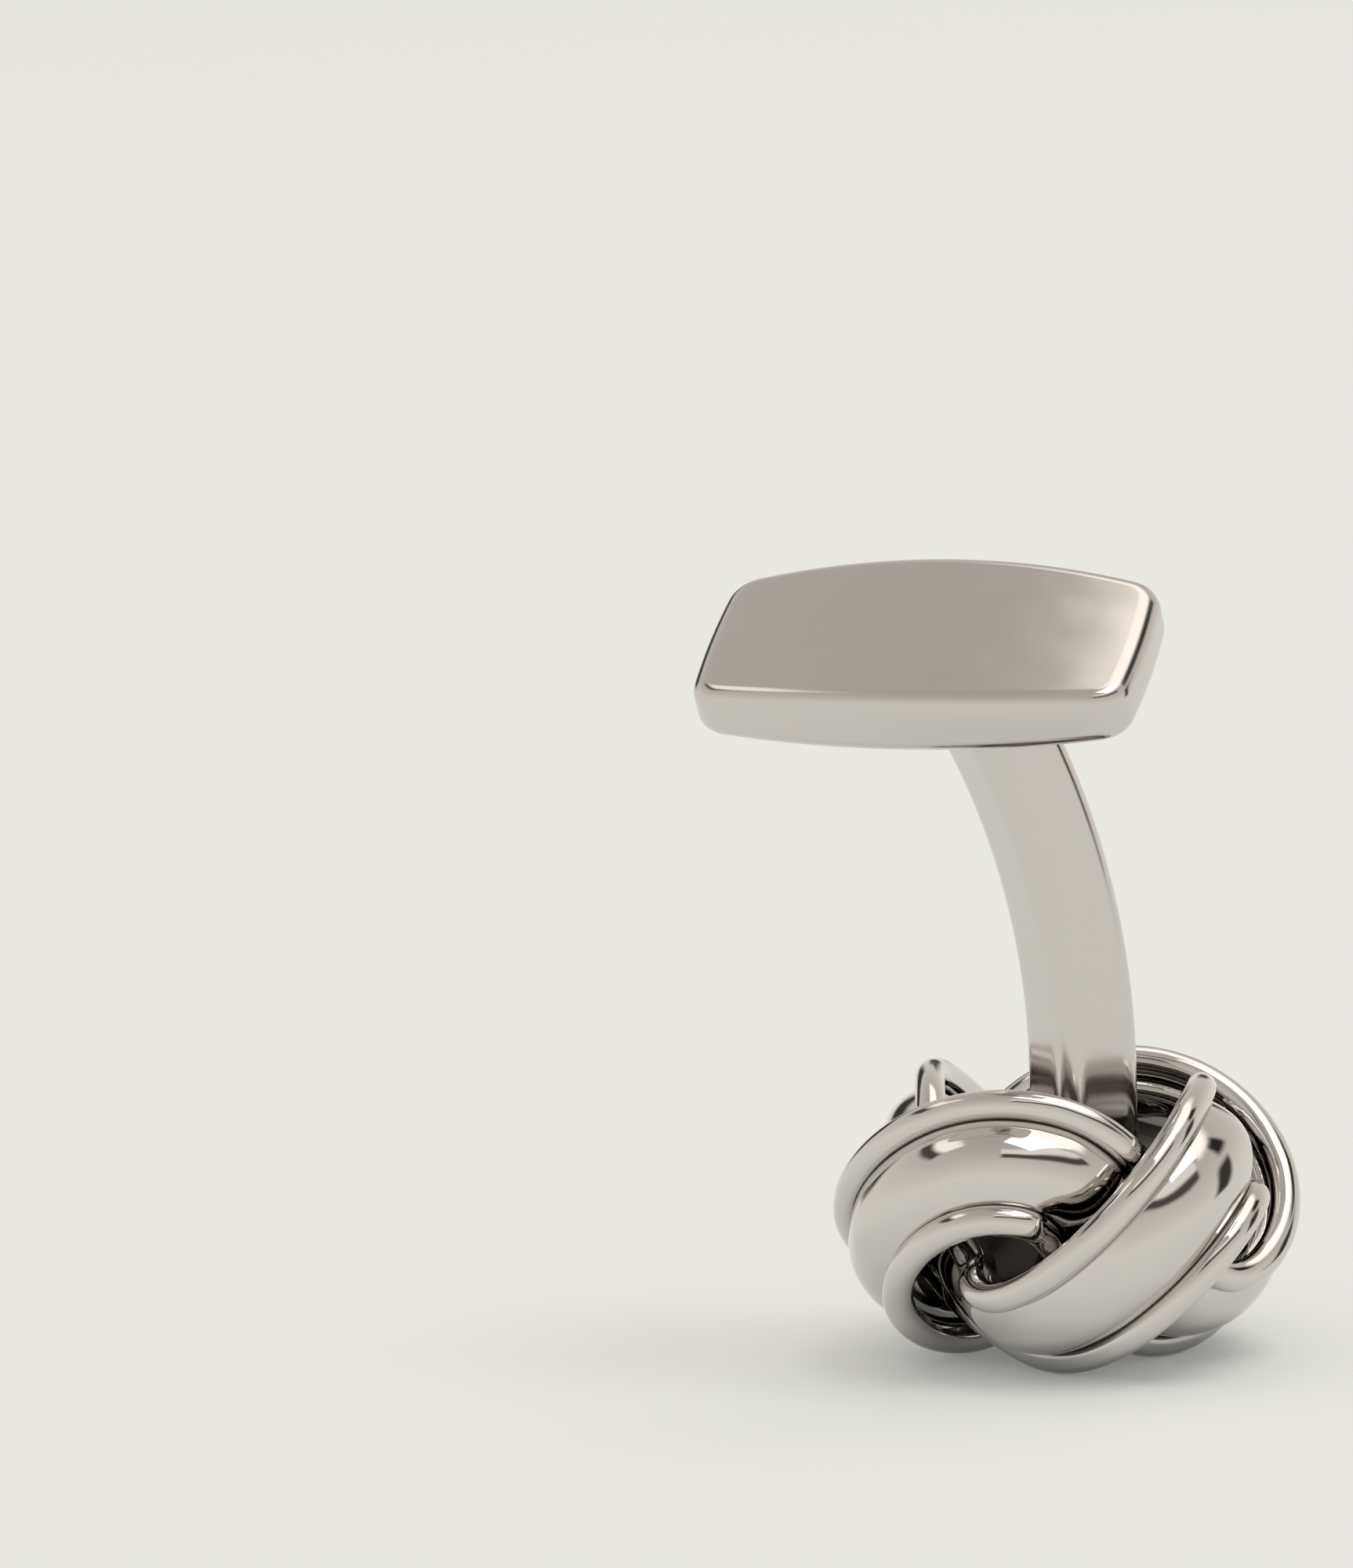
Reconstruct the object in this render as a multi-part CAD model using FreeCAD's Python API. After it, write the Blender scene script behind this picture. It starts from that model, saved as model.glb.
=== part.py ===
import FreeCAD
import Part

import math
import os

# A knot cufflink in millimetres. Two interlaced loops of triple strip make the knot, and a curved post
# carries a fixed toggle bar. Z is the axis of the knot, which rests on its front at Z = 0.

Vector = FreeCAD.Vector
UP = Vector(0, 0, 1)
ORIGIN = Vector(0, 0, 0)

# The dome on which the middle line of every strip runs
DOME_RADIUS = 6.13
DOME_HALF_HEIGHT = 5.3
KNOT_MIDDLE = 4.87           # from the resting plane up to the middle plane of the dome
KNOT_TURN = -8.0             # degrees that the whole knot is turned about its axis

# The path of one loop: twice in a turn it swings to the front of the dome and to its back
CROSSING_ANGLE = 78.5        # degrees from the front pole to the ring of crossings
SWING_ANGLE = 33.8           # degrees that the path swings to either side of that ring
SWING_LEAN = 8.5             # degrees that the swing leans, so that a strip stays long on top
TURN_ROUNDNESS = 0.05        # how far the swing is flattened where the path turns back
DIVE_DEPTH = 1.9             # how far a strip goes down to pass under another one
STATIONS = 19                # sections along a strip

# The section of a strip: a crowned middle band with a round wire along each edge
BAND_HALF_WIDTH = 1.27
BAND_CROWN = 0.75
BAND_EDGE = 0.7
BAND_HOLLOW = 0.3
CROWN_STEPS = 6              # straight steps that the crown of the band is made of
HOLLOW_STEPS = 4
WIRE_RADIUS = 0.48
WIRE_SIDES = 8
WIRE_LIFT = 0.1

# The seat inside the knot, held between the strips where they dive
SEAT_RADIUS = 3.7
SEAT_HEIGHT = 1.1
SEAT_LEVEL = 4.3             # underside of the seat above the resting plane
HUB_RADIUS = 2.2
HUB_HEIGHT = 0.9
SOCKET_DEPTH = 0.6

# The post: a square bar with round edges, bent on one arc
POST_SIDE = 2.7
POST_EDGE_RADIUS = 0.7
POST_FOOT = Vector(0.5, 0.2, 0)
POST_BEND_LEVEL = 8.45       # where the straight foot of the post ends
POST_BEND_RADIUS = 21.7
POST_BEND_ANGLE = 33.0
POST_LEAN_HEADING = 226.0    # degrees round the axis, the way that the post leans
POST_TENON = 0.9             # the end of the post that is let into the bar

# The collar round the top of the post
COLLAR_WALL = 0.3
COLLAR_HEIGHT = 0.45
COLLAR_GAP = 0.05

# The toggle bar
BAR_LENGTH = 13.4
BAR_END_WIDTH = 5.5
BAR_BULGE = 0.75             # how far each long side stands out in the middle
BAR_END_BULGE = 0.15
BAR_CORNER_RADIUS = 1.1
BAR_THICKNESS = 2.1
BAR_CROWN = 0.45             # fall of the outer face from its middle to its ends
BAR_OUTER_EDGE = 0.5
BAR_INNER_EDGE = 0.55
BAR_TILT = 31.8              # degrees about the length of the bar
BAR_SHIFT = -1.15            # middle of the bar from the post, along the bar

LEAN = Vector(math.cos(math.radians(POST_LEAN_HEADING)), math.sin(math.radians(POST_LEAN_HEADING)), 0)
BEND_CENTRE = POST_FOOT + UP * POST_BEND_LEVEL + LEAN * POST_BEND_RADIUS
BEND_AXIS = UP.cross(LEAN)


# The knot

def dome_point(turn):
    """Point and outward direction on the dome, turn degrees along a loop."""
    phase = math.radians(turn)
    wave = (math.cos(2 * phase) - TURN_ROUNDNESS * math.cos(6 * phase)) / (1 - TURN_ROUNDNESS)
    angle = math.radians(CROSSING_ANGLE + SWING_ANGLE * wave)
    heading = phase + math.radians(SWING_LEAN) * math.cos(2 * phase)
    radial = Vector(math.cos(heading), math.sin(heading), 0)
    point = radial * (DOME_RADIUS * math.sin(angle)) - UP * (DOME_HALF_HEIGHT * math.cos(angle))
    outward = radial * (math.sin(angle) / DOME_RADIUS) - UP * (math.cos(angle) / DOME_HALF_HEIGHT)
    return point, outward.normalize()


def path_point(turn):
    """Point on a loop's own path, deepest at 45 and 225 degrees where it passes under the other loop."""
    point, outward = dome_point(turn)
    dive = math.cos(math.radians(turn - 45)) ** 2
    return point - outward * (DIVE_DEPTH * dive) + UP * KNOT_MIDDLE, outward


def path_place(turn):
    """Placement of a section: X across the strip, Y outward, Z along the strip."""
    step = 0.5
    origin, outward = path_point(turn)
    along = (path_point(turn + step)[0] - path_point(turn - step)[0]).normalize()
    across = outward.cross(along).normalize()
    return FreeCAD.Placement(origin, FreeCAD.Rotation(across, along.cross(across), along, "ZXY"))


def bowed_line(half_width, level, bow, steps):
    """Points from one edge of the band to the other on a parabola."""
    points = []
    for step in range(steps + 1):
        place = 1 - 2 * step / steps
        points.append(Vector(half_width * place, level + bow * (1 - place * place), 0))
    return points


def band_section():
    """Crowned outside, hollow inside, square edges against the wires."""
    crown = bowed_line(BAND_HALF_WIDTH, 0, BAND_CROWN, CROWN_STEPS)
    hollow = bowed_line(-BAND_HALF_WIDTH, -BAND_EDGE, BAND_HOLLOW, HOLLOW_STEPS)
    return Part.makePolygon(crown + hollow + crown[:1])


def wire_section(side):
    """Many-sided round section beside one edge of the band."""
    middle = Vector(side * (BAND_HALF_WIDTH + WIRE_RADIUS), WIRE_LIFT, 0)
    corners = []
    for corner in range(WIRE_SIDES + 1):
        angle = 2 * math.pi * corner / WIRE_SIDES
        corners.append(middle + Vector(math.cos(angle), math.sin(angle), 0) * WIRE_RADIUS)
    return Part.makePolygon(corners)


def strand(section):
    """Loft from one hidden joint under a crossing, over the other loop, to the next hidden joint."""
    sections = []
    for station in range(STATIONS):
        placed = section.copy()
        placed.Placement = path_place(45 + 180 * station / (STATIONS - 1))
        sections.append(placed)
    solid, ruled = True, True
    return Part.makeLoft(sections, solid, ruled)


def knot_strips():
    """Four strips a quarter turn apart. The first and third make one closed loop, the others its partner."""
    strands = {"band": strand(band_section()),
               "front_wire": strand(wire_section(1)),
               "back_wire": strand(wire_section(-1))}
    nodes = {}
    for quarter in range(4):
        for name, shape in strands.items():
            turned = shape.copy()
            turned.rotate(ORIGIN, UP, KNOT_TURN + 90 * quarter)
            nodes["strip_%d_%s" % (quarter + 1, name)] = turned
    return nodes


def knot_seat(post):
    """Disc with a hub that the foot of the post stands in."""
    disc = Part.makeCylinder(SEAT_RADIUS, SEAT_HEIGHT, UP * SEAT_LEVEL)
    hub = Part.makeCylinder(HUB_RADIUS, HUB_HEIGHT, POST_FOOT + UP * (SEAT_LEVEL + SEAT_HEIGHT))
    return disc.fuse(hub).removeSplitter().cut(post)


# The post and its collar

def rounded_square(side, radius):
    """Face round the Z axis with round corners, its sides along and across the post's lean."""
    prism = Part.makeBox(side, side, 1, Vector(-side / 2, -side / 2, 0))
    upright = [edge for edge in prism.Edges if abs(edge.tangentAt(edge.FirstParameter).z) > 0.9]
    face = min(prism.makeFillet(radius, upright).Faces, key=lambda f: f.CenterOfMass.z)
    face.rotate(ORIGIN, UP, POST_LEAN_HEADING)
    return face


def at_bend(shape, bend):
    """A shape made round the Z axis, moved to a bend of the post's arc."""
    placed = shape.copy()
    placed.translate(POST_FOOT + UP * POST_BEND_LEVEL)
    placed.rotate(BEND_CENTRE, BEND_AXIS, bend)
    return placed


def curved_post():
    face = rounded_square(POST_SIDE, POST_EDGE_RADIUS)
    foot_level = SEAT_LEVEL + SEAT_HEIGHT + HUB_HEIGHT - SOCKET_DEPTH
    foot = face.extrude(UP * (POST_BEND_LEVEL - foot_level))
    foot.translate(POST_FOOT + UP * foot_level)
    last_bend = POST_BEND_ANGLE + math.degrees(POST_TENON / POST_BEND_RADIUS)
    arm = at_bend(face, 0).revolve(BEND_CENTRE, BEND_AXIS, last_bend)
    return foot.fuse(arm).removeSplitter()


def post_collar():
    """Short ring round the post, cut level with the inner face of the bar."""
    outside = rounded_square(POST_SIDE + 2 * COLLAR_WALL, POST_EDGE_RADIUS + COLLAR_WALL)
    inside = rounded_square(POST_SIDE + 2 * COLLAR_GAP, POST_EDGE_RADIUS + COLLAR_GAP)
    ring = outside.extrude(UP * (2 * POST_SIDE)).cut(inside.extrude(UP * (2 * POST_SIDE)))
    ring.translate(UP * -POST_SIDE)
    slab = Part.makeBox(BAR_LENGTH, BAR_LENGTH, COLLAR_HEIGHT,
                        Vector(-BAR_LENGTH / 2, -BAR_LENGTH / 2, -COLLAR_HEIGHT))
    slab.Placement = bar_place()
    return at_bend(ring, POST_BEND_ANGLE).common(slab)


# The toggle bar

def bar_place():
    """Middle of the bar's inner face on the end of the post, with the bar's length along X."""
    bend = math.radians(POST_BEND_ANGLE)
    rise = POST_BEND_LEVEL + POST_BEND_RADIUS * math.sin(bend)
    top = POST_FOOT + LEAN * (POST_BEND_RADIUS * (1 - math.cos(bend))) + UP * rise
    return FreeCAD.Placement(top + Vector(BAR_SHIFT, 0, 0), FreeCAD.Rotation(Vector(1, 0, 0), BAR_TILT))


def bar_outline():
    """Barrel-shaped outline: bulging long sides and gently bowed ends."""
    half_length = BAR_LENGTH / 2 - BAR_END_BULGE
    half_width = BAR_END_WIDTH / 2
    corners = [Vector(half_length, -half_width, 0), Vector(half_length, half_width, 0),
               Vector(-half_length, half_width, 0), Vector(-half_length, -half_width, 0)]
    bulges = [Vector(half_length + BAR_END_BULGE, 0, 0), Vector(0, half_width + BAR_BULGE, 0),
              Vector(-half_length - BAR_END_BULGE, 0, 0), Vector(0, -half_width - BAR_BULGE, 0)]
    sides = [Part.Arc(corners[i], bulges[i], corners[(i + 1) % 4]).toShape() for i in range(4)]
    return Part.Wire(sides)


def toggle_bar(post):
    """Outline drawn up to a crowned outer face, with its edges rounded and a socket for the post."""
    prism = Part.Face(bar_outline()).extrude(UP * (BAR_THICKNESS + 1))
    upright = [edge for edge in prism.Edges if abs(edge.tangentAt(edge.FirstParameter).z) > 0.9]
    prism = prism.makeFillet(BAR_CORNER_RADIUS, upright)

    half_length = BAR_LENGTH / 2
    crown_radius = (half_length ** 2 + BAR_CROWN ** 2) / (2 * BAR_CROWN)
    crown_axis = UP * (BAR_THICKNESS - crown_radius)
    sideways = Vector(0, 1, 0)
    crown_end = crown_axis - sideways * BAR_END_WIDTH
    crown = Part.makeCylinder(crown_radius, 2 * BAR_END_WIDTH, crown_end, sideways)
    crown.rotate(crown_axis, sideways, 180)
    bar = prism.common(crown).Solids[0]

    inner = [edge for edge in bar.Edges if edge.BoundBox.ZMax < 0.001]
    bar = bar.makeFillet(BAR_INNER_EDGE, inner)
    outer = [edge for edge in bar.Edges if edge.BoundBox.ZMin > BAR_THICKNESS - BAR_CROWN - 0.1]
    bar = bar.makeFillet(BAR_OUTER_EDGE, outer)
    bar.Placement = bar_place()
    return bar.cut(post)


nodes = knot_strips()
post = curved_post()
nodes["knot_seat"] = knot_seat(post)
nodes["post"] = post
nodes["post_collar"] = post_collar()
nodes["toggle_bar"] = toggle_bar(post)

os.makedirs("parts", exist_ok=True)
for name, shape in nodes.items():
    shape.Solids[0].exportStep("parts/%s.step" % name)
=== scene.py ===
import math

import bpy
from mathutils import Matrix, Vector


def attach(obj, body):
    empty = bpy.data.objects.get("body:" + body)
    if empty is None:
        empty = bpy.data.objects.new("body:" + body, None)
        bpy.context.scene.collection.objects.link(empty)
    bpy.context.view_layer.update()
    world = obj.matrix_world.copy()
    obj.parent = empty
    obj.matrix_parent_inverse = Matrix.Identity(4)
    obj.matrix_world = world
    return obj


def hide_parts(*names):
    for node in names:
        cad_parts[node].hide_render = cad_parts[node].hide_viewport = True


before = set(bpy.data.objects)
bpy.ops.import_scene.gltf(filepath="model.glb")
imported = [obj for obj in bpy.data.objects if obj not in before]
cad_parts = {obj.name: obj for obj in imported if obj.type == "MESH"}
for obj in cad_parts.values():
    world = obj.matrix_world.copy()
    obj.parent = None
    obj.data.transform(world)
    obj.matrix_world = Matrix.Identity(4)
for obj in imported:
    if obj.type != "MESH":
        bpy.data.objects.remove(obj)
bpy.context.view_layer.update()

# Lengths are written in millimetres and turned to metres where a mesh is made
MM = 0.001

# The knot: the dome that its loops run on, and the swing and dive of their paths
DOME_RADIUS = 6.13
DOME_HALF_HEIGHT = 5.3
KNOT_MIDDLE = 4.87
CROSSING_ANGLE = 78.5
SWING_ANGLE = 33.8
SWING_LEAN = 8.5
TURN_ROUNDNESS = 0.05
KNOT_TURN = -8.0
DIVE_DEPTH = 1.9

# The section of a loop: a crowned band with a round wire along each edge
BAND_HALF_WIDTH = 1.27
BAND_CROWN = 0.75
BAND_EDGE = 0.7
BAND_HOLLOW = 0.3
WIRE_RADIUS = 0.455
WIRE_REACH = 0.48            # from the edge of the band to the middle of the wire
WIRE_LIFT = 0.1
SOLDER_LEVEL = 0.17          # how high solder fills the groove between band and wire
SOLDER_REACH = 0.05

# The curved post
POST_SIDE = 2.7
POST_EDGE_RADIUS = 0.7
POST_FOOT = Vector((0.5, 0.2, 5.7))
POST_BEND_LEVEL = 8.45
POST_BEND_RADIUS = 21.7
POST_BEND_ANGLE = 33.0
POST_LEAN_HEADING = 226.0
POST_TENON = 0.9

# The toggle bar
BAR_LENGTH = 13.4
BAR_END_WIDTH = 5.5
BAR_BULGE = 0.75
BAR_END_BULGE = 0.15
BAR_THICKNESS = 2.1
BAR_CROWN = 0.45
BAR_CORNER_RADIUS = 1.1
BAR_OUTER_EDGE = 0.5
BAR_INNER_EDGE = 0.55
BAR_TILT = 31.8
BAR_SHIFT = -1.15

# How finely the meshes are divided
LOOP_STATIONS = 240
BAND_STEPS = 20
WIRE_SIDES = 24
FOOT_STEPS = 6
BEND_STEPS = 48
CORNER_STEPS = 8
BAR_END_STEPS = 8
BAR_CORNER_STEPS = 10
BAR_SIDE_STEPS = 16
EDGE_STEPS = 8
INNER_FACE_SHARES = (0.02, 0.25, 0.5, 0.7, 0.85, 0.95, 0.99)
OUTER_FACE_SHARES = (0.99, 0.95, 0.88, 0.8, 0.7, 0.6, 0.5, 0.4, 0.3, 0.2, 0.1, 0.02)

# The view: where the photograph was taken from
IMAGE_WIDTH, IMAGE_HEIGHT = 1726, 2000
CAMERA_AZIMUTH = 18.8
CAMERA_ELEVATION = 7.15
CAMERA_ROLL = 1.4
CAMERA_DISTANCE = 260.0
PIXELS_PER_MM = 43.1
KNOT_IN_IMAGE = (1361, 1520)

# Metals: grain draws the polish out along Z, and waves are how uneven hand polish leaves the surface
POLISHED = {"colour": (0.7, 0.675, 0.655), "roughness": 0.04, "variation": 0.03, "grain": 1, "waves": 0.15}
BRUSHED = {"colour": (0.67, 0.645, 0.625), "roughness": 0.1, "variation": 0.1, "grain": 30, "waves": 0.03}
# Painted shade: a dark copy of the silver for the seat, so the knot's middle opening looks like a dark recess
SEAT_PAINTED_SHADE = {"colour": (0.2, 0.19, 0.17), "roughness": 0.3, "variation": 0.1, "grain": 1, "waves": 0.03}
GRAINS_PER_METRE = 900
WAVE_LENGTH = 2.5

# Painted shade: the metals' colour is darkened in their recesses, where shade falls
RECESS_REACH = 2.5
RECESS_SHADE = 0.3
RECESS_OPENNESS = (0.1, 0.5)     # from where the painted shade is darkest to where there is none

# Floor and studio light
FLOOR_HALF_SIZE = 3000
PALE_FLOOR = (0.805, 0.825, 0.815)
FLOOR_GLOW = 0.2             # of its own colour, only where it is looked at
WARM_WHITE = (1.0, 0.95, 0.88)
WALL_AT_FLOOR = 0.85
WALL_OVERHEAD = 0.5
LAMP_DIRECTION = Vector((0.35, -0.1, 1))
LAMP_DISTANCE = 3000
LAMP_SIZE = 1300
LAMP_POWER = 12
LAMP_AIM = Vector((0, 0, 11))
# Panels in the walls, in degrees round the vertical from X and above the floor
STUDIO_PANELS = [
    {"heading": 60, "height": 68, "half_width": 48, "half_height": 10, "soft": 12, "grey": 1.5},
    {"heading": 40, "height": 41, "half_width": 8, "half_height": 4, "soft": 9, "grey": 0.03},
    {"heading": 30, "height": 12, "half_width": 4, "half_height": 8, "soft": 9, "grey": 0.05},
    {"heading": 135, "height": 14, "half_width": 12, "half_height": 5, "soft": 9, "grey": 0.05},
    {"heading": 187, "height": 56, "half_width": 20, "half_height": 5, "soft": 5, "grey": 1.25},
    {"heading": 187, "height": 46, "half_width": 20, "half_height": 2, "soft": 6, "grey": 0.08},
    {"heading": 320, "height": 52, "half_width": 35, "half_height": 4, "soft": 5, "grey": 0.95},
    {"heading": 320, "height": 42, "half_width": 34, "half_height": 2, "soft": 6, "grey": 0.08},
    {"heading": 100, "height": 12, "half_width": 4, "half_height": 3, "soft": 7, "grey": 0.1},
]

UP = Vector((0, 0, 1))
LEAN = Vector((math.cos(math.radians(POST_LEAN_HEADING)), math.sin(math.radians(POST_LEAN_HEADING)), 0))


# Meshes and nodes

def mesh_object(name, points, faces=(), edges=()):
    """Mesh object from points in millimetres."""
    mesh = bpy.data.meshes.new(name)
    mesh.from_pydata([Vector(p) * MM for p in points], list(edges), list(faces))
    mesh.update()
    obj = bpy.data.objects.new(name, mesh)
    bpy.context.scene.collection.objects.link(obj)
    return obj


def ring_object(name, points):
    """Closed line of points."""
    count = len(points)
    return mesh_object(name, points, edges=[(i, (i + 1) % count) for i in range(count)])


def path_object(name, points, outwards, closed):
    """Line of points that a profile is drawn along, with the way its outside faces stored on each."""
    if closed:
        obj = ring_object(name, points)
    else:
        obj = mesh_object(name, points, edges=[(i, i + 1) for i in range(len(points) - 1)])
    attribute = obj.data.attributes.new("outward", "FLOAT_VECTOR", "POINT")
    for item, outward in zip(attribute.data, outwards):
        item.vector = outward
    return obj


def new_tree(name, inputs):
    """Geometry node tree with a path going in, a mesh coming out and the named inputs between."""
    tree = bpy.data.node_groups.new(name, "GeometryNodeTree")
    tree.interface.new_socket("Path", in_out="INPUT", socket_type="NodeSocketGeometry")
    for label, kind in inputs:
        tree.interface.new_socket(label, in_out="INPUT", socket_type=kind)
    tree.interface.new_socket("Mesh", in_out="OUTPUT", socket_type="NodeSocketGeometry")
    return tree


def finish_sweep(tree, source, profile_socket):
    """Draws a profile along the path, with its outside turned as the path says."""
    links = tree.links
    rail = tree.nodes.new("GeometryNodeMeshToCurve")
    outward = tree.nodes.new("GeometryNodeInputNamedAttribute")
    outward.data_type = "FLOAT_VECTOR"
    outward.inputs["Name"].default_value = "outward"
    turned = tree.nodes.new("GeometryNodeSetCurveNormal")
    turned.mode = "FREE"
    drawn = tree.nodes.new("GeometryNodeCurveToMesh")
    drawn.inputs["Fill Caps"].default_value = True
    shaded = tree.nodes.new("GeometryNodeSetShadeSmooth")
    realised = tree.nodes.new("GeometryNodeRealizeInstances")
    painted = tree.nodes.new("GeometryNodeSetMaterial")
    result = tree.nodes.new("NodeGroupOutput")
    links.new(source.outputs["Path"], rail.inputs["Mesh"])
    links.new(rail.outputs["Curve"], turned.inputs["Curve"])
    links.new(outward.outputs["Attribute"], turned.inputs["Normal"])
    links.new(turned.outputs["Curve"], drawn.inputs["Curve"])
    links.new(profile_socket, drawn.inputs["Profile Curve"])
    links.new(drawn.outputs["Mesh"], shaded.inputs["Geometry"])
    links.new(shaded.outputs["Geometry"], realised.inputs["Geometry"])
    links.new(realised.outputs["Geometry"], painted.inputs["Geometry"])
    links.new(source.outputs["Material"], painted.inputs["Material"])
    links.new(painted.outputs["Geometry"], result.inputs["Mesh"])


def wire_tree():
    """Round wire drawn beside the path."""
    tree = new_tree("edge_wire", [("Radius", "NodeSocketFloat"), ("Sides", "NodeSocketInt"),
                                  ("Offset", "NodeSocketVector"), ("Material", "NodeSocketMaterial")])
    source = tree.nodes.new("NodeGroupInput")
    circle = tree.nodes.new("GeometryNodeCurvePrimitiveCircle")
    moved = tree.nodes.new("GeometryNodeTransform")
    tree.links.new(source.outputs["Radius"], circle.inputs["Radius"])
    tree.links.new(source.outputs["Sides"], circle.inputs["Resolution"])
    tree.links.new(circle.outputs["Curve"], moved.inputs["Geometry"])
    tree.links.new(source.outputs["Offset"], moved.inputs["Translation"])
    finish_sweep(tree, source, moved.outputs["Geometry"])
    return tree


def profile_tree():
    """Any closed profile drawn along the path."""
    tree = new_tree("profile_sweep", [("Profile", "NodeSocketObject"), ("Material", "NodeSocketMaterial")])
    source = tree.nodes.new("NodeGroupInput")
    info = tree.nodes.new("GeometryNodeObjectInfo")
    outline = tree.nodes.new("GeometryNodeMeshToCurve")
    tree.links.new(source.outputs["Profile"], info.inputs["Object"])
    tree.links.new(info.outputs["Geometry"], outline.inputs["Mesh"])
    finish_sweep(tree, source, outline.outputs["Curve"])
    return tree


def swept(name, path, tree, values):
    """Plain mesh object from a tree run on a path."""
    carrier = path.copy()
    bpy.context.scene.collection.objects.link(carrier)
    modifier = carrier.modifiers.new("sweep", "NODES")
    modifier.node_group = tree
    for item in tree.interface.items_tree:
        if item.in_out == "INPUT" and item.name in values:
            modifier[item.identifier] = values[item.name]
    bpy.context.view_layer.update()
    graph = bpy.context.evaluated_depsgraph_get()
    mesh = bpy.data.meshes.new_from_object(carrier.evaluated_get(graph))
    mesh.name = name
    bpy.data.objects.remove(carrier)
    obj = bpy.data.objects.new(name, mesh)
    bpy.context.scene.collection.objects.link(obj)
    return obj


def stand_for(piece, nodes):
    """Lets a finished piece be seen in place of the CAD nodes of the same form."""
    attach(piece, "root")
    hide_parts(*nodes)


# The knot

def dome_point(turn):
    """Point and outward direction on the dome, turn degrees along the loop."""
    phase = math.radians(turn)
    wave = (math.cos(2 * phase) - TURN_ROUNDNESS * math.cos(6 * phase)) / (1 - TURN_ROUNDNESS)
    heading = phase + math.radians(SWING_LEAN) * math.cos(2 * phase)
    angle = math.radians(CROSSING_ANGLE + SWING_ANGLE * wave)
    radial = Vector((math.cos(heading), math.sin(heading), 0))
    point = radial * (DOME_RADIUS * math.sin(angle)) - UP * (DOME_HALF_HEIGHT * math.cos(angle))
    outward = radial * (math.sin(angle) / DOME_RADIUS) - UP * (math.cos(angle) / DOME_HALF_HEIGHT)
    return point, outward.normalized()


def path_point(turn):
    """Point on the loop's path, deepest at 45 and 225 degrees where it passes under the other loop."""
    point, outward = dome_point(turn)
    dive = math.cos(math.radians(turn - 45)) ** 2
    return point - outward * (DIVE_DEPTH * dive) + UP * KNOT_MIDDLE, outward


def loop_path(name, start):
    """Closed path of one loop, turned by start degrees about the axis."""
    turned = Matrix.Rotation(math.radians(KNOT_TURN + start), 3, "Z")
    points, outwards = [], []
    for station in range(LOOP_STATIONS):
        turn = 360.0 * station / LOOP_STATIONS
        point, outward = path_point(turn)
        along = (path_point(turn + 0.5)[0] - path_point(turn - 0.5)[0]).normalized()
        outward = (outward - along * outward.dot(along)).normalized()
        points.append(turned @ point)
        outwards.append(turned @ outward)
    return path_object(name, points, outwards, closed=True)


def section_point(across, outward):
    """Place in a profile's own plane, whose X is the path's outside."""
    return Vector((outward, -across, 0))


def band_profile():
    """Crowned outside that solder carries up to the wires, hollow inside."""
    crown, hollow = [], []
    for step in range(BAND_STEPS + 1):
        place = 1 - 2 * step / BAND_STEPS
        bow = 1 - place * place
        outside = SOLDER_LEVEL + (BAND_CROWN - SOLDER_LEVEL) * bow
        crown.append(section_point((BAND_HALF_WIDTH + SOLDER_REACH) * place, outside))
        hollow.append(section_point(-BAND_HALF_WIDTH * place, BAND_HOLLOW * bow - BAND_EDGE))
    return ring_object("band_profile", crown + hollow)


def make_knot(metal, sweep):
    """Two interlaced loops a quarter turn apart, each a band with a wire along either edge."""
    wires = wire_tree()
    outline = band_profile()
    for loop, start, strips in (("loop_a", 0, (1, 3)), ("loop_b", 90, (2, 4))):
        path = loop_path(loop + "_path", start)
        band = swept(loop + "_band", path, sweep, {"Profile": outline, "Material": metal})
        stand_for(band, ["strip_%d_band" % strip for strip in strips])
        for edge, side in (("front_wire", 1), ("back_wire", -1)):
            offset = section_point(side * (BAND_HALF_WIDTH + WIRE_REACH), WIRE_LIFT) * MM
            values = {"Radius": WIRE_RADIUS * MM, "Sides": WIRE_SIDES, "Offset": offset, "Material": metal}
            wire = swept(loop + "_" + edge, path, wires, values)
            stand_for(wire, ["strip_%d_%s" % (strip, edge) for strip in strips])
        bpy.data.objects.remove(path)
    bpy.data.objects.remove(outline)


# The post

def post_point(bend):
    """Middle of the post and the way its inside faces, bend degrees along its arc."""
    angle = math.radians(bend)
    aside = LEAN * (POST_BEND_RADIUS * (1 - math.cos(angle)))
    level = POST_BEND_LEVEL + POST_BEND_RADIUS * math.sin(angle)
    point = Vector((POST_FOOT.x, POST_FOOT.y, level)) + aside
    return point, LEAN * math.cos(angle) - UP * math.sin(angle)


def rounded_square_profile(side, radius):
    """Square with round corners, with points along its flats too so that they shade flat."""
    flat = side / 2 - radius
    points = []
    for corner in range(4):
        turned = Matrix.Rotation(math.radians(90 * corner), 3, "Z")
        for step in range(CORNER_STEPS + 1):
            angle = math.radians(90 * step / CORNER_STEPS)
            bend = Vector((math.cos(angle), math.sin(angle), 0)) * radius
            points.append(turned @ (Vector((flat, flat, 0)) + bend))
        for share in (0.1, 0.5, 0.9):
            points.append(turned @ Vector((flat * (1 - 2 * share), flat + radius, 0)))
    return ring_object("post_profile", points)


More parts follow.
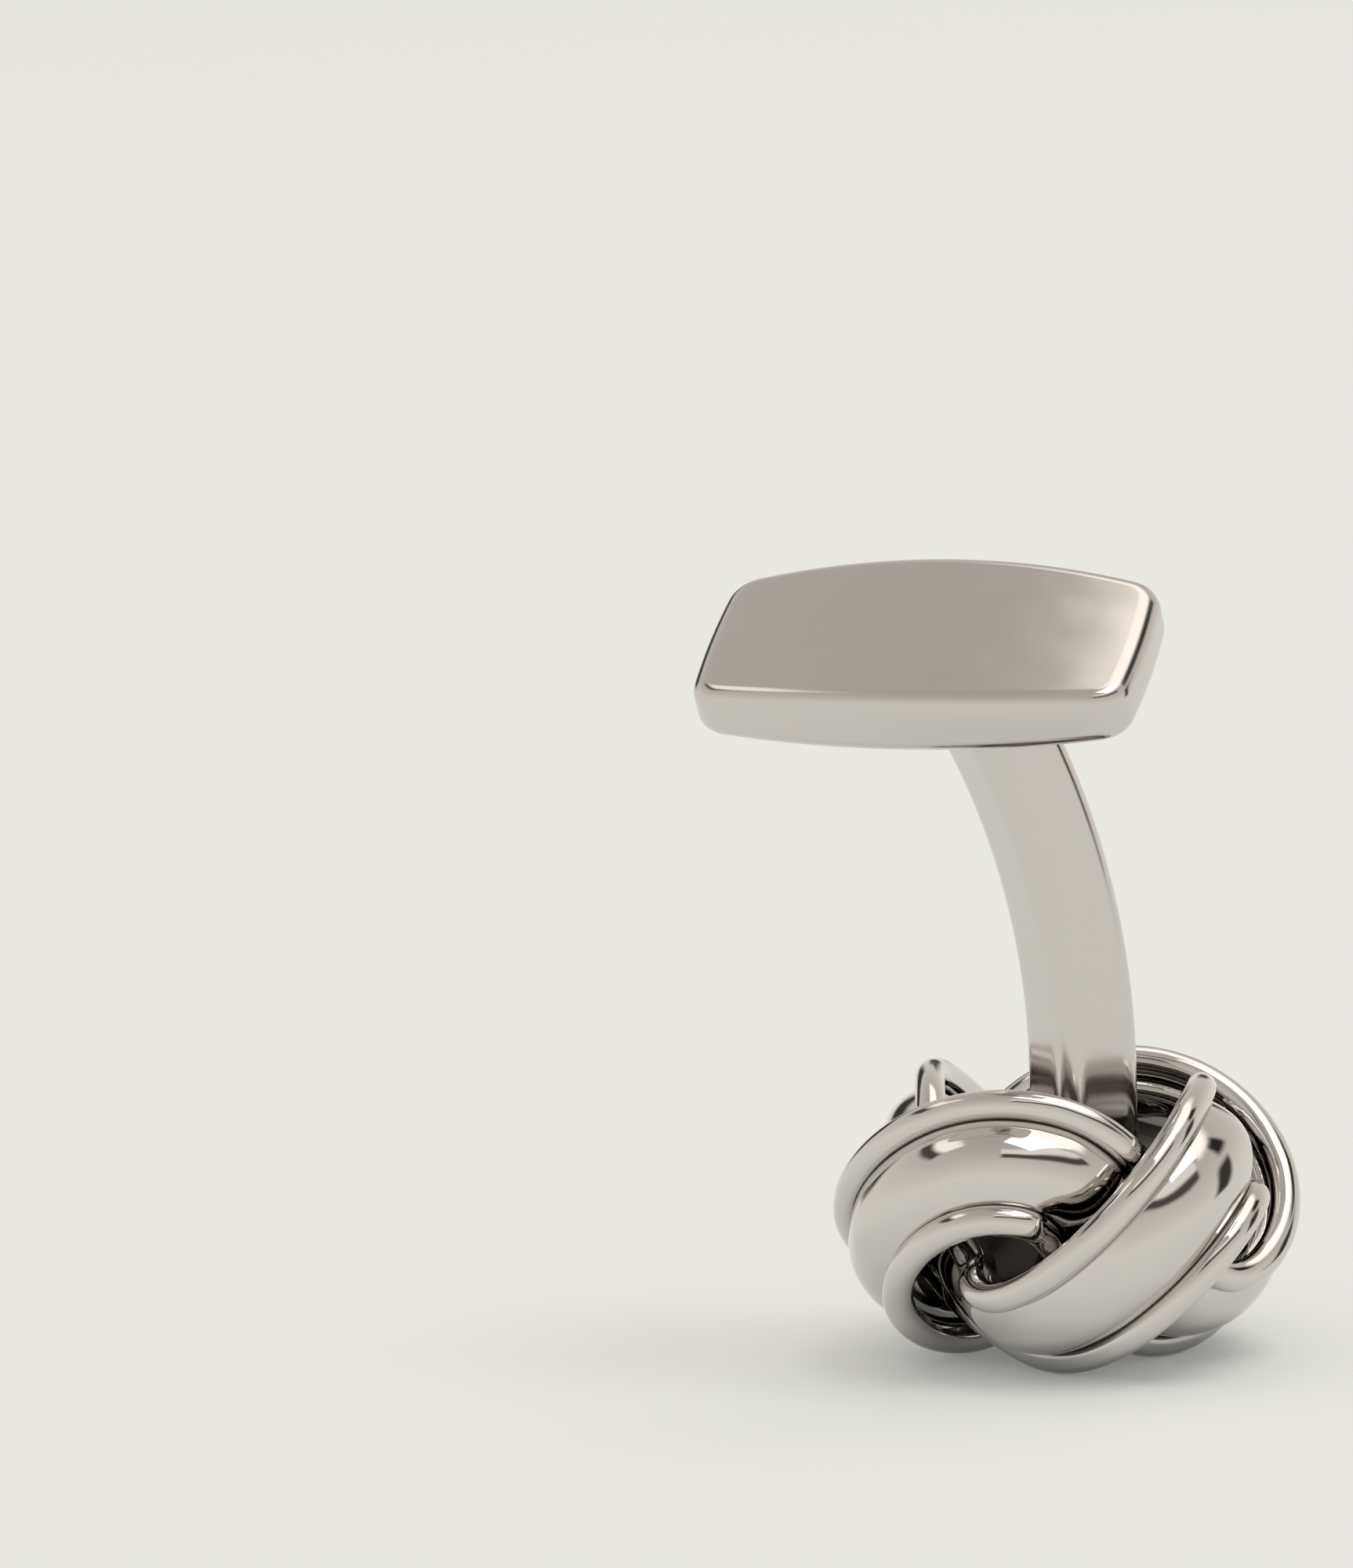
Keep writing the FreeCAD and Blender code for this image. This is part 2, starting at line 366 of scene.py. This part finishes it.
def make_post(metal, sweep):
    """Straight foot, then one arc up into the bar."""
    points, outwards = [], []
    for step in range(FOOT_STEPS):
        level = POST_FOOT.z + (POST_BEND_LEVEL - POST_FOOT.z) * step / FOOT_STEPS
        points.append(Vector((POST_FOOT.x, POST_FOOT.y, level)))
        outwards.append(LEAN)
    last_bend = POST_BEND_ANGLE + math.degrees(POST_TENON / POST_BEND_RADIUS)
    for step in range(BEND_STEPS + 1):
        point, inside = post_point(last_bend * step / BEND_STEPS)
        points.append(point)
        outwards.append(inside)
    path = path_object("post_path", points, outwards, closed=False)
    outline = rounded_square_profile(POST_SIDE, POST_EDGE_RADIUS)
    post = swept("curved_post", path, sweep, {"Profile": outline, "Material": metal})
    stand_for(post, ["post"])
    bpy.data.objects.remove(path)
    bpy.data.objects.remove(outline)


# The toggle bar

def bar_place():
    """From the bar's own plane, its inner face at zero height, to its place on the post."""
    middle = post_point(POST_BEND_ANGLE)[0] + Vector((BAR_SHIFT, 0, 0))
    return Matrix.Translation(middle) @ Matrix.Rotation(math.radians(BAR_TILT), 4, "X")


def arc_radius(half_chord, bulge):
    """Radius of the arc that bulges this far over its chord."""
    return (half_chord * half_chord + bulge * bulge) / (2 * bulge)


def arc_points(middle, radius, first, last, steps):
    """Points along an arc, without its last one."""
    points = []
    for step in range(steps):
        angle = first + (last - first) * step / steps
        points.append(middle + Vector((math.cos(angle), math.sin(angle))) * radius)
    return points


def corner_middle(first, first_radius, second, second_radius):
    """Upper right point that lies at both radii from two middles."""
    gap = second - first
    reach = gap.length
    along = (reach * reach + first_radius * first_radius - second_radius * second_radius) / (2 * reach)
    aside = math.sqrt(max(first_radius * first_radius - along * along, 0))
    unit = gap / reach
    choices = [first + unit * along + Vector((-unit.y, unit.x)) * (aside * sign) for sign in (1, -1)]
    return max(choices, key=lambda p: p.x + p.y)


def bar_outline(inset):
    """Barrel-shaped outline with round corners, moved in by inset."""
    half_length = BAR_LENGTH / 2 - BAR_END_BULGE
    half_width = BAR_END_WIDTH / 2
    side_radius = arc_radius(half_length, BAR_BULGE)
    side_middle = Vector((0, half_width + BAR_BULGE - side_radius))
    end_radius = arc_radius(half_width, BAR_END_BULGE)
    end_middle = Vector((half_length + BAR_END_BULGE - end_radius, 0))
    corner = corner_middle(side_middle, side_radius - BAR_CORNER_RADIUS,
                           end_middle, end_radius - BAR_CORNER_RADIUS)
    side_angle = math.atan2(corner.y - side_middle.y, corner.x - side_middle.x)
    end_angle = math.atan2(corner.y - end_middle.y, corner.x - end_middle.x)
    quarter = arc_points(end_middle, end_radius - inset, 0, end_angle, BAR_END_STEPS)
    quarter += arc_points(corner, BAR_CORNER_RADIUS - inset, end_angle, side_angle, BAR_CORNER_STEPS)
    quarter += arc_points(side_middle, side_radius - inset, side_angle, math.pi / 2, BAR_SIDE_STEPS)
    top = side_middle + Vector((0, side_radius - inset))
    first_half = quarter + [top] + [Vector((-p.x, p.y)) for p in reversed(quarter)]
    second_half = [Vector((p.x, -p.y)) for p in reversed(first_half)]
    return first_half + second_half[1:-1]


def outer_height(point):
    """Height of the crowned outer face above the inner one."""
    return BAR_THICKNESS - BAR_CROWN * (2 * point.x / BAR_LENGTH) ** 2


def bar_rings():
    """Rings of places and heights, from the middle of the inner face to that of the outer one."""
    rings = []
    for share in INNER_FACE_SHARES:
        rings.append([(p * share, 0.0) for p in bar_outline(BAR_INNER_EDGE)])
    for step in range(EDGE_STEPS + 1):
        angle = math.pi / 2 * step / EDGE_STEPS
        inset = BAR_INNER_EDGE * (1 - math.sin(angle))
        height = BAR_INNER_EDGE * (1 - math.cos(angle))
        rings.append([(p, height) for p in bar_outline(inset)])
    for step in range(EDGE_STEPS + 1):
        angle = math.pi / 2 * step / EDGE_STEPS
        inset = BAR_OUTER_EDGE * (1 - math.cos(angle))
        drop = BAR_OUTER_EDGE * (1 - math.sin(angle))
        rings.append([(p, outer_height(p) - drop) for p in bar_outline(inset)])
    for share in OUTER_FACE_SHARES:
        rings.append([(p * share, outer_height(p * share)) for p in bar_outline(BAR_OUTER_EDGE)])
    return rings


def make_bar(metal):
    """Pillow-shaped bar, closed over its rings."""
    rings = bar_rings()
    place = bar_place()
    points = [place @ Vector((p.x, p.y, height)) for ring in rings for p, height in ring]
    count = len(rings[0])
    faces = [list(reversed(range(count)))]
    for ring in range(len(rings) - 1):
        low, high = ring * count, (ring + 1) * count
        for i in range(count):
            j = (i + 1) % count
            faces.append((low + i, low + j, high + j, high + i))
    last = (len(rings) - 1) * count
    faces.append([last + i for i in range(count)])
    bar = mesh_object("pillow_bar", points, faces)
    bar.data.shade_smooth()
    bar.data.materials.append(metal)
    stand_for(bar, ["toggle_bar"])


# Finishes

def silver_metal(name, colour, roughness, variation, grain, waves):
    """Silver-coloured metal, with painted shade that darkens its recesses."""
    material = bpy.data.materials.new(name)
    material.use_nodes = True
    nodes, links = material.node_tree.nodes, material.node_tree.links
    shader = nodes["Principled BSDF"]
    shader.inputs["Metallic"].default_value = 1
    # Painted shade: ambient occlusion mixes the colour towards a darker copy of it in recesses
    recess = nodes.new("ShaderNodeAmbientOcclusion")
    recess.inputs["Distance"].default_value = RECESS_REACH * MM
    depth = nodes.new("ShaderNodeMapRange")
    depth.inputs["From Min"].default_value = RECESS_OPENNESS[0]
    depth.inputs["From Max"].default_value = RECESS_OPENNESS[1]
    painted_recess_shade = nodes.new("ShaderNodeMix")
    painted_recess_shade.data_type = "RGBA"
    painted_recess_shade.inputs["A"].default_value = (*[part * RECESS_SHADE for part in colour], 1)
    painted_recess_shade.inputs["B"].default_value = (*colour, 1)
    links.new(recess.outputs["AO"], depth.inputs["Value"])
    links.new(depth.outputs["Result"], painted_recess_shade.inputs["Factor"])
    links.new(painted_recess_shade.outputs["Result"], shader.inputs["Base Color"])
    place = nodes.new("ShaderNodeTexCoord")
    stretch = nodes.new("ShaderNodeMapping")
    stretch.inputs["Scale"].default_value = (1, 1, 1 / grain)
    noise = nodes.new("ShaderNodeTexNoise")
    noise.inputs["Scale"].default_value = GRAINS_PER_METRE
    noise.inputs["Detail"].default_value = 3
    spread = nodes.new("ShaderNodeMapRange")
    spread.inputs["To Min"].default_value = roughness
    spread.inputs["To Max"].default_value = roughness + variation
    links.new(place.outputs["Object"], stretch.inputs["Vector"])
    links.new(stretch.outputs["Vector"], noise.inputs["Vector"])
    links.new(noise.outputs["Fac"], spread.inputs["Value"])
    links.new(spread.outputs["Result"], shader.inputs["Roughness"])
    swell = nodes.new("ShaderNodeTexNoise")
    swell.inputs["Scale"].default_value = 1 / (WAVE_LENGTH * MM)
    swell.inputs["Detail"].default_value = 1
    bump = nodes.new("ShaderNodeBump")
    bump.inputs["Distance"].default_value = waves * MM
    links.new(place.outputs["Object"], swell.inputs["Vector"])
    links.new(swell.outputs["Fac"], bump.inputs["Height"])
    links.new(bump.outputs["Normal"], shader.inputs["Normal"])
    return material


# Floor, light and camera

def looked_at(tree):
    """One where the camera or a reflection looks at the surface, zero where it only gives light."""
    rays = tree.nodes.new("ShaderNodeLightPath")
    total = rays.outputs["Is Camera Ray"]
    for kind in ("Is Glossy Ray", "Is Transmission Ray"):
        either = tree.nodes.new("ShaderNodeMath")
        either.operation = "MAXIMUM"
        tree.links.new(total, either.inputs[0])
        tree.links.new(rays.outputs[kind], either.inputs[1])
        total = either.outputs["Value"]
    return total


def make_floor():
    """Pale floor that glows a little where it is looked at, so that only the soft shadow darkens it."""
    corners = [(x * FLOOR_HALF_SIZE, y * FLOOR_HALF_SIZE, 0) for x, y in ((-1, -1), (1, -1), (1, 1), (-1, 1))]
    floor = mesh_object("floor", corners, [(0, 1, 2, 3)])
    material = bpy.data.materials.new("pale_floor")
    material.use_nodes = True
    tree = material.node_tree
    shader = tree.nodes["Principled BSDF"]
    shader.inputs["Base Color"].default_value = (*PALE_FLOOR, 1)
    shader.inputs["Roughness"].default_value = 0.9
    shader.inputs["Specular IOR Level"].default_value = 0
    shader.inputs["Emission Color"].default_value = (*PALE_FLOOR, 1)
    glow = tree.nodes.new("ShaderNodeMath")
    glow.operation = "MULTIPLY"
    glow.inputs[1].default_value = FLOOR_GLOW
    tree.links.new(looked_at(tree), glow.inputs[0])
    tree.links.new(glow.outputs["Value"], shader.inputs["Emission Strength"])
    floor.data.materials.append(material)


def world_math(tree, operation, *values):
    """Output of a math node fed with numbers or with other nodes' outputs."""
    node = tree.nodes.new("ShaderNodeMath")
    node.operation = operation
    for socket, value in zip(node.inputs, values):
        if isinstance(value, bpy.types.NodeSocket):
            tree.links.new(value, socket)
        else:
            socket.default_value = value
    return node.outputs["Value"]


def panel_edge(tree, distance, reach, softness):
    """One within reach of a panel's middle line, falling softly to zero past it, all in degrees."""
    edge = tree.nodes.new("ShaderNodeMapRange")
    edge.interpolation_type = "SMOOTHSTEP"
    edge.inputs["From Min"].default_value = math.radians(reach + softness)
    edge.inputs["From Max"].default_value = math.radians(reach)
    tree.links.new(distance, edge.inputs["Value"])
    return edge.outputs["Result"]


def make_world():
    """Studio walls, paler towards the floor, with soft boxes and dark gaps in them for the metal to show."""
    world = bpy.data.worlds.new("studio")
    world.use_nodes = True
    tree = world.node_tree
    place = tree.nodes.new("ShaderNodeTexCoord")
    parts = tree.nodes.new("ShaderNodeSeparateXYZ")
    tree.links.new(place.outputs["Generated"], parts.inputs["Vector"])
    heading = world_math(tree, "ARCTAN2", parts.outputs["Y"], parts.outputs["X"])
    height = world_math(tree, "ARCSINE", parts.outputs["Z"])
    walls = tree.nodes.new("ShaderNodeMapRange")
    walls.inputs["To Min"].default_value = WALL_AT_FLOOR
    walls.inputs["To Max"].default_value = WALL_OVERHEAD
    tree.links.new(parts.outputs["Z"], walls.inputs["Value"])
    brightness = walls.outputs["Result"]
    for panel in STUDIO_PANELS:
        turn = world_math(tree, "SUBTRACT", heading, math.radians(panel["heading"]))
        turn = world_math(tree, "WRAP", turn, math.pi, -math.pi)
        rise = world_math(tree, "SUBTRACT", height, math.radians(panel["height"]))
        across = panel_edge(tree, world_math(tree, "ABSOLUTE", turn), panel["half_width"], panel["soft"])
        upward = panel_edge(tree, world_math(tree, "ABSOLUTE", rise), panel["half_height"], panel["soft"])
        mixed = tree.nodes.new("ShaderNodeMix")
        mixed.inputs["B"].default_value = panel["grey"]
        tree.links.new(world_math(tree, "MULTIPLY", across, upward), mixed.inputs["Factor"])
        tree.links.new(brightness, mixed.inputs["A"])
        brightness = mixed.outputs["Result"]
    background = tree.nodes["Background"]
    background.inputs["Color"].default_value = (*WARM_WHITE, 1)
    tree.links.new(brightness, background.inputs["Strength"])
    bpy.context.scene.world = world


def make_lamp():
    """Square soft box above the part."""
    data = bpy.data.lights.new("overhead", "AREA")
    data.shape = "RECTANGLE"
    data.size = LAMP_SIZE * MM
    data.size_y = LAMP_SIZE * MM
    data.energy = LAMP_POWER
    lamp = bpy.data.objects.new("overhead", data)
    bpy.context.scene.collection.objects.link(lamp)
    lamp.location = (LAMP_AIM + LAMP_DIRECTION.normalized() * LAMP_DISTANCE) * MM
    lamp.rotation_euler = LAMP_DIRECTION.to_track_quat("Z", "Y").to_euler()


def make_camera():
    """Camera that shows the knot where the photograph does, at the photograph's scale."""
    azimuth, elevation = math.radians(CAMERA_AZIMUTH), math.radians(CAMERA_ELEVATION)
    right = Vector((math.cos(azimuth), math.sin(azimuth), 0))
    forward = Vector((-math.sin(azimuth) * math.cos(elevation), math.cos(azimuth) * math.cos(elevation),
                      -math.sin(elevation)))
    upward = right.cross(forward)
    roll = Matrix.Rotation(math.radians(CAMERA_ROLL), 3, forward)
    right, upward = roll @ right, roll @ upward
    across = (KNOT_IN_IMAGE[0] - IMAGE_WIDTH / 2) / PIXELS_PER_MM
    below = (KNOT_IN_IMAGE[1] - IMAGE_HEIGHT / 2) / PIXELS_PER_MM
    aim = Vector((0, 0, KNOT_MIDDLE)) - right * across + upward * below
    data = bpy.data.cameras.new("camera")
    data.sensor_fit = "HORIZONTAL"
    data.sensor_width = 36
    data.lens = data.sensor_width * CAMERA_DISTANCE * PIXELS_PER_MM / IMAGE_WIDTH
    data.clip_start = 0.01
    camera = bpy.data.objects.new("camera", data)
    bpy.context.scene.collection.objects.link(camera)
    axes = Matrix((right, upward, -forward)).transposed().to_4x4()
    camera.matrix_world = Matrix.Translation((aim - forward * CAMERA_DISTANCE) * MM) @ axes
    bpy.context.scene.camera = camera


bpy.context.scene.view_settings.view_transform = "Standard"

polished = silver_metal("polished_silver", **POLISHED)
brushed = silver_metal("brushed_silver", **BRUSHED)
shaded = silver_metal("painted_shade_silver", **SEAT_PAINTED_SHADE)
sweep = profile_tree()
make_knot(polished, sweep)
make_post(brushed, sweep)
make_bar(brushed)
# The seat gets the painted shade metal, and the collar gets the brushed one
for node, metal in (("knot_seat", shaded), ("post_collar", brushed)):
    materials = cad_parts[node].data.materials
    materials.clear()
    materials.append(metal)

make_floor()
make_world()
make_lamp()
make_camera()
